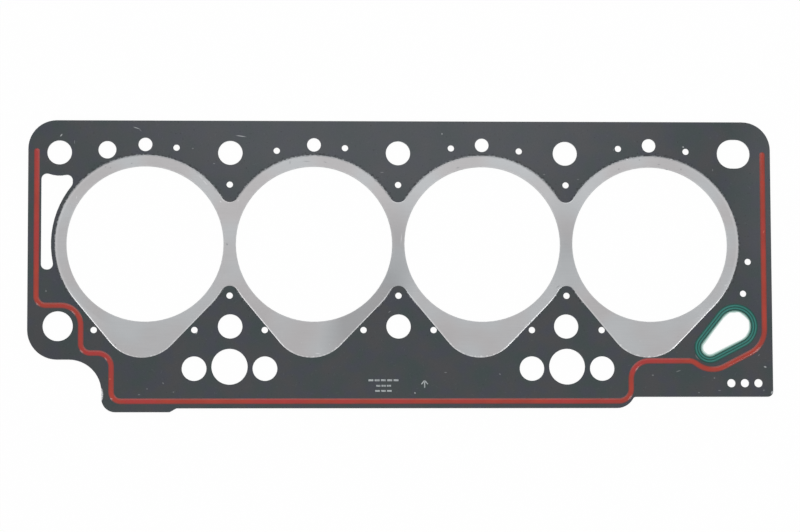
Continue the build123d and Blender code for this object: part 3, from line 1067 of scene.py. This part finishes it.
for node_name, piece_name in (
    ("perimeter_bead_upper", "silicone_line_upper"),
    ("perimeter_bead_lower", "silicone_line_lower"),
):
    piece = smooth_copy(piece_name, nodes[node_name])
    piece.data.materials.append(silicone)
    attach(piece, "root")
    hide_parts(node_name)


# Oil passage seal: dark green rubber moulded round the teardrop hole, with two ridges on each face
# joined through the hole. The tops of the ridges carry a lighter painted highlight, and the mould
# has left a thin film of flash standing into the hole, paler where it is thinnest.

RUBBER_LOW_HEX = "#13463f"
RUBBER_CREST_HIGHLIGHT_HEX = "#328077"
RUBBER_BLOOM_HEX = "#1b6559"
RUBBER_FLASH_HEX = "#d3ebe5"
RUBBER_FLASH_ROOT_HEX = "#8fbdb1"
BLOOM_SIZE = 2.2 * mm
BLOOM_RAMP = (0.40, 0.75)
BLOOM_SHARE = 0.40
RUBBER_RELIEF = 0.02 * mm

# How far from the middle plane the painted highlight on the ridges starts and is lightest
RIDGE_HIGHLIGHT_BAND = (0.84 * mm, 0.96 * mm)

# The film of flash is two bands of this width, wider where it ripples and towards the hole's
# narrow end
FLASH_WIDTH = 0.52 * mm
FLASH_THICKNESS = 0.05 * mm
RIPPLE_SIZE = 3.0 * mm
RIPPLE_SHARE = 0.5
NARROW_END_WAY = Vector((-0.77, -0.64, 0.0))
NARROW_END_SHARE = 0.5
NARROW_END_FOCUS = 8

# Moulded green rubber: deep green in the grooves and lighter on the ridges with a painted
# highlight, with a soft sheen and a faint bloom in patches of about two millimetres
rubber, tree, shader, coords = start_material("moulded_green_rubber")
split = add_node(tree, "ShaderNodeSeparateXYZ", {0: coords})
height = add_node(
    tree, "ShaderNodeMath", {0: split.outputs["Z"], 1: MID_PLANE}, operation="SUBTRACT"
).outputs[0]
height = add_node(tree, "ShaderNodeMath", {0: height}, operation="ABSOLUTE").outputs[0]
# Painted highlight: the colour turns lighter towards the tops of the ridges
ridge_highlight = add_node(
    tree,
    "ShaderNodeMapRange",
    {"Value": height, "From Min": RIDGE_HIGHLIGHT_BAND[0], "From Max": RIDGE_HIGHLIGHT_BAND[1]},
).outputs[0]
rubber_colour = add_node(
    tree,
    "ShaderNodeMix",
    {0: ridge_highlight, 6: linear(RUBBER_LOW_HEX), 7: linear(RUBBER_CREST_HIGHLIGHT_HEX)},
    data_type="RGBA",
).outputs[2]
bloom = add_node(
    tree, "ShaderNodeTexNoise", {"Vector": coords, "Scale": 1 / BLOOM_SIZE, "Detail": 3.0}
).outputs["Fac"]
bloom_ramp = add_node(
    tree,
    "ShaderNodeMapRange",
    {
        "Value": bloom,
        "From Min": BLOOM_RAMP[0],
        "From Max": BLOOM_RAMP[1],
        "To Max": BLOOM_SHARE,
    },
).outputs[0]
rubber_colour = add_node(
    tree,
    "ShaderNodeMix",
    {0: bloom_ramp, 6: rubber_colour, 7: linear(RUBBER_BLOOM_HEX)},
    data_type="RGBA",
).outputs[2]
tree.links.new(rubber_colour, shader.inputs["Base Color"])
shader.inputs["Roughness"].default_value = 0.38
shader.inputs["Specular IOR Level"].default_value = 0.3
rubber_bump = add_node(
    tree, "ShaderNodeBump", {"Height": bloom, "Strength": 0.3, "Distance": RUBBER_RELIEF}
).outputs[0]
tree.links.new(rubber_bump, shader.inputs["Normal"])

seal = smooth_copy("moulded_oil_seal", nodes["oil_passage_seal"])
seal.data.materials.append(rubber)
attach(seal, "root")
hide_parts("oil_passage_seal")

# The film starts from the line where the middle plane cuts the wall of the hole
flash_mesh = bmesh.new()
flash_mesh.from_mesh(nodes["oil_passage_seal"].data)
bmesh.ops.remove_doubles(flash_mesh, verts=flash_mesh.verts, dist=MERGE_DISTANCE)
cut = bmesh.ops.bisect_plane(
    flash_mesh,
    geom=flash_mesh.verts[:] + flash_mesh.edges[:] + flash_mesh.faces[:],
    plane_co=(0, 0, MID_PLANE),
    plane_no=(0, 0, 1),
    clear_inner=True,
    clear_outer=False,
)
flash_mesh.normal_update()
wall_line = [v for v in cut["geom_cut"] if isinstance(v, bmesh.types.BMVert)]
hole_centre = sum((v.co for v in wall_line), Vector()) / len(wall_line)
wall_line = [v for v in wall_line if v.normal.dot(hole_centre - v.co) > 0]
inward = {tuple(v.co): Vector((v.normal.x, v.normal.y, 0)).normalized() for v in wall_line}
spare = [v for v in flash_mesh.verts if tuple(v.co) not in inward]
bmesh.ops.delete(flash_mesh, geom=spare, context="VERTS")
edge_line = flash_mesh.edges[:]
for band in (0, 1):
    grown = bmesh.ops.extrude_edge_only(flash_mesh, edges=edge_line)["geom"]
    for v in grown:
        if isinstance(v, bmesh.types.BMVert):
            way = inward[tuple(v.co)]
            ripple = noise.noise(v.co / RIPPLE_SIZE)
            narrow = max(0.0, (v.co - hole_centre).normalized().dot(NARROW_END_WAY))
            more = RIPPLE_SHARE * ripple + NARROW_END_SHARE * narrow**NARROW_END_FOCUS
            v.co += way * FLASH_WIDTH * (1 + more)
            inward[tuple(v.co)] = way
        elif isinstance(v, bmesh.types.BMFace):
            v.material_index = band
    edge_line = [e for e in grown if isinstance(e, bmesh.types.BMEdge) and len(e.link_faces) == 1]
    edge_line = [e for e in edge_line if all(w in grown for w in e.verts)]
film = add_object("seal_flash", flash_mesh)
thicken = film.modifiers.new("film", "SOLIDIFY")
thicken.thickness = FLASH_THICKNESS
thicken.offset = 0.0

# So thin that light comes through it: pale green at its root and nearly white at its free edge
for name, film_hex in (
    ("thin_green_rubber_film", RUBBER_FLASH_ROOT_HEX),
    ("thinnest_green_rubber_film", RUBBER_FLASH_HEX),
):
    film_rubber, _, shader, _ = start_material(name)
    shader.inputs["Base Color"].default_value = linear(film_hex)
    shader.inputs["Roughness"].default_value = 0.45
    film.data.materials.append(film_rubber)
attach(film, "root")


# Print: a few plain dashes in three short rows and an arrow towards the vents, stamped on the
# facing in light grey ink, about a hundredth of a millimetre thick.

INK_HEX = "#b4babc"
INK_WORN_HEX = "#8f9598"
INK_THICKNESS = 0.012 * mm
INK_WEAR_SIZE = 0.9 * mm
INK_WEAR_RAMP = (0.42, 0.62)

# Each row's left and right ends, its middle line and its height in millimetres, and its number of
# dashes. A dash takes this share of its step.
INK_ROWS = [
    (-16.4, 0.2, -72.2, 1.0, 5),
    (-12.2, -3.8, -75.1, 0.9, 3),
    (-12.8, -3.4, -77.8, 0.9, 3),
]
DASH_SHARE = 0.78

# The arrow's shaft and the two strokes of its head: each one's place from the arrow's middle,
# width and length in millimetres, and turn in degrees
ARROW_MIDDLE = (13.6, -74.3)
ARROW_STROKES = [
    (0, -0.2, 0.6, 3.5, 0),
    (-0.85, 1.0, 0.6, 2.55, -40),
    (0.85, 1.0, 0.6, 2.55, 40),
]

ink_mesh = bmesh.new()
for left, right, middle, tall, count in INK_ROWS:
    step = (right - left) / count
    for dash in range(count):
        centre = Vector((left + (dash + 0.5) * step, middle, 0)) * mm
        made = bmesh.ops.create_grid(ink_mesh, x_segments=1, y_segments=1, size=0.5)
        bmesh.ops.scale(ink_mesh, verts=made["verts"], vec=(step * DASH_SHARE * mm, tall * mm, 1))
        bmesh.ops.translate(ink_mesh, verts=made["verts"], vec=centre)
for x, y, across, along, turn in ARROW_STROKES:
    made = bmesh.ops.create_grid(ink_mesh, x_segments=1, y_segments=1, size=0.5)
    bmesh.ops.scale(ink_mesh, verts=made["verts"], vec=(across * mm, along * mm, 1))
    bmesh.ops.rotate(
        ink_mesh, verts=made["verts"], matrix=Matrix.Rotation(math.radians(turn), 3, "Z")
    )
    bmesh.ops.translate(
        ink_mesh,
        verts=made["verts"],
        vec=Vector((ARROW_MIDDLE[0] + x, ARROW_MIDDLE[1] + y, 0)) * mm,
    )
bmesh.ops.translate(ink_mesh, verts=ink_mesh.verts, vec=(0, 0, FACING_TOP))
risen = bmesh.ops.extrude_face_region(ink_mesh, geom=ink_mesh.faces[:])
bmesh.ops.translate(
    ink_mesh,
    verts=[v for v in risen["geom"] if isinstance(v, bmesh.types.BMVert)],
    vec=(0, 0, INK_THICKNESS),
)
bmesh.ops.recalc_face_normals(ink_mesh, faces=ink_mesh.faces)
facing_print = add_object("facing_print", ink_mesh)

# Stamping ink: flat pale grey, worn thin in specks where the felt stands through it
ink, tree, shader, coords = start_material("light_grey_stamping_ink")
wear = add_node(
    tree, "ShaderNodeTexNoise", {"Vector": coords, "Scale": 1 / INK_WEAR_SIZE, "Detail": 3.0}
).outputs["Fac"]
wear_ramp = add_node(
    tree,
    "ShaderNodeMapRange",
    {"Value": wear, "From Min": INK_WEAR_RAMP[0], "From Max": INK_WEAR_RAMP[1]},
).outputs[0]
ink_colour = add_node(
    tree,
    "ShaderNodeMix",
    {0: wear_ramp, 6: linear(INK_HEX), 7: linear(INK_WORN_HEX)},
    data_type="RGBA",
).outputs[2]
tree.links.new(ink_colour, shader.inputs["Base Color"])
shader.inputs["Roughness"].default_value = 0.6
facing_print.data.materials.append(ink)
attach(facing_print, "root")


# Floor and backdrop: plain white paper under the gasket and a white room round it. The paper glows
# by itself to the eye and is lit only enough to keep the thin shadow of the sheet.

WHITE = linear("#ffffff")
FLOOR_HALF_SIDE = 4.0
FLOOR_GAP = 0.02 * mm
PAPER_OWN_WHITE = 0.97
ROOM_LIGHT = 0.66


def seen_directly(tree):
    """1 for the rays that show a surface: straight, in a mirror or through glass."""
    rays = add_node(tree, "ShaderNodeLightPath", {})
    seen = add_node(
        tree,
        "ShaderNodeMath",
        {0: rays.outputs["Is Camera Ray"], 1: rays.outputs["Is Glossy Ray"]},
        operation="MAXIMUM",
    ).outputs[0]
    return add_node(
        tree,
        "ShaderNodeMath",
        {0: seen, 1: rays.outputs["Is Transmission Ray"]},
        operation="MAXIMUM",
    ).outputs[0]


lowest = cad_bounds[0].z
floor_mesh = bmesh.new()
bmesh.ops.create_grid(floor_mesh, x_segments=1, y_segments=1, size=FLOOR_HALF_SIDE)
bmesh.ops.translate(floor_mesh, verts=floor_mesh.verts, vec=(0, 0, lowest - FLOOR_GAP))
floor = add_object("floor", floor_mesh)

# White paper: no gloss, and to the camera nearly all its own even white
paper, tree, shader, _ = start_material("white_backdrop_paper")
shader.inputs["Base Color"].default_value = WHITE
shader.inputs["Roughness"].default_value = 0.9
shader.inputs["Specular IOR Level"].default_value = 0.0
share = add_node(
    tree, "ShaderNodeMath", {0: seen_directly(tree), 1: PAPER_OWN_WHITE}, operation="MULTIPLY"
).outputs[0]
glow = add_node(tree, "ShaderNodeEmission", {"Color": WHITE, "Strength": 1.0}).outputs[0]
surface = add_node(
    tree, "ShaderNodeMixShader", {"Fac": share, 1: shader.outputs[0], 2: glow}
).outputs[0]
tree.links.new(surface, tree.nodes["Material Output"].inputs["Surface"])
floor.data.materials.append(paper)

# The room: plain white where it is seen, and dimmer as a light
world = bpy.data.worlds.new("soft_room")
world.use_nodes = True
bpy.context.scene.world = world
tree = world.node_tree
backdrop = tree.nodes["Background"]
backdrop.inputs["Color"].default_value = WHITE
strength = add_node(
    tree,
    "ShaderNodeMapRange",
    {"Value": seen_directly(tree), "To Min": ROOM_LIGHT, "To Max": 1.0},
).outputs[0]
tree.links.new(strength, backdrop.inputs["Strength"])


# Lamps: a soft box above and beyond the vents, and a long one high up at each end, nearer to the
# camera. The silicone's flanks that face the long ones show as thin bright lines. Each has its
# place and sides in metres, and its power in watts.

SOFT_BOXES = [
    ("lamp_over_vents", (0.02, 0.34, 0.62), (0.50, 0.40), 0.6),
    ("lamp_left", (-0.70, -0.38, 1.15), (0.16, 0.40), 0.9),
    ("lamp_right", (0.70, -0.34, 1.15), (0.16, 0.40), 0.9),
]

for name, place, sides, power in SOFT_BOXES:
    lamp_data = bpy.data.lights.new(name, "AREA")
    lamp_data.shape = "RECTANGLE"
    lamp_data.size, lamp_data.size_y = sides
    lamp_data.energy = power
    lamp = bpy.data.objects.new(name, lamp_data)
    lamp.location = place
    lamp.rotation_euler = (-lamp.location).to_track_quat("-Z", "Y").to_euler()
    bpy.context.scene.collection.objects.link(lamp)


# Camera: high above the sheet with a long lens, a little to the left and below the middle of the
# picture, as the photograph was taken. Its place and lens are in millimetres, its turn in degrees.

CAMERA_PLACE = (-82.858, -234.335, 1986.698)
CAMERA_TURN = (6.226, -3.098, -0.283)
CAMERA_LENS = 170.295
CAMERA_SHIFT = (-0.0587, 0.0149)

camera_data = bpy.data.cameras.new("camera")
camera_data.lens = CAMERA_LENS
camera_data.shift_x, camera_data.shift_y = CAMERA_SHIFT
camera_data.sensor_width = 36.0
camera_data.sensor_fit = "HORIZONTAL"
camera_data.clip_start = 0.05
camera_data.clip_end = 20.0
camera = bpy.data.objects.new("camera", camera_data)
camera.location = Vector(CAMERA_PLACE) * mm
camera.rotation_euler = Euler([math.radians(a) for a in CAMERA_TURN], "XYZ")
bpy.context.scene.collection.objects.link(camera)
bpy.context.scene.camera = camera

bpy.context.scene.view_settings.view_transform = "Standard"
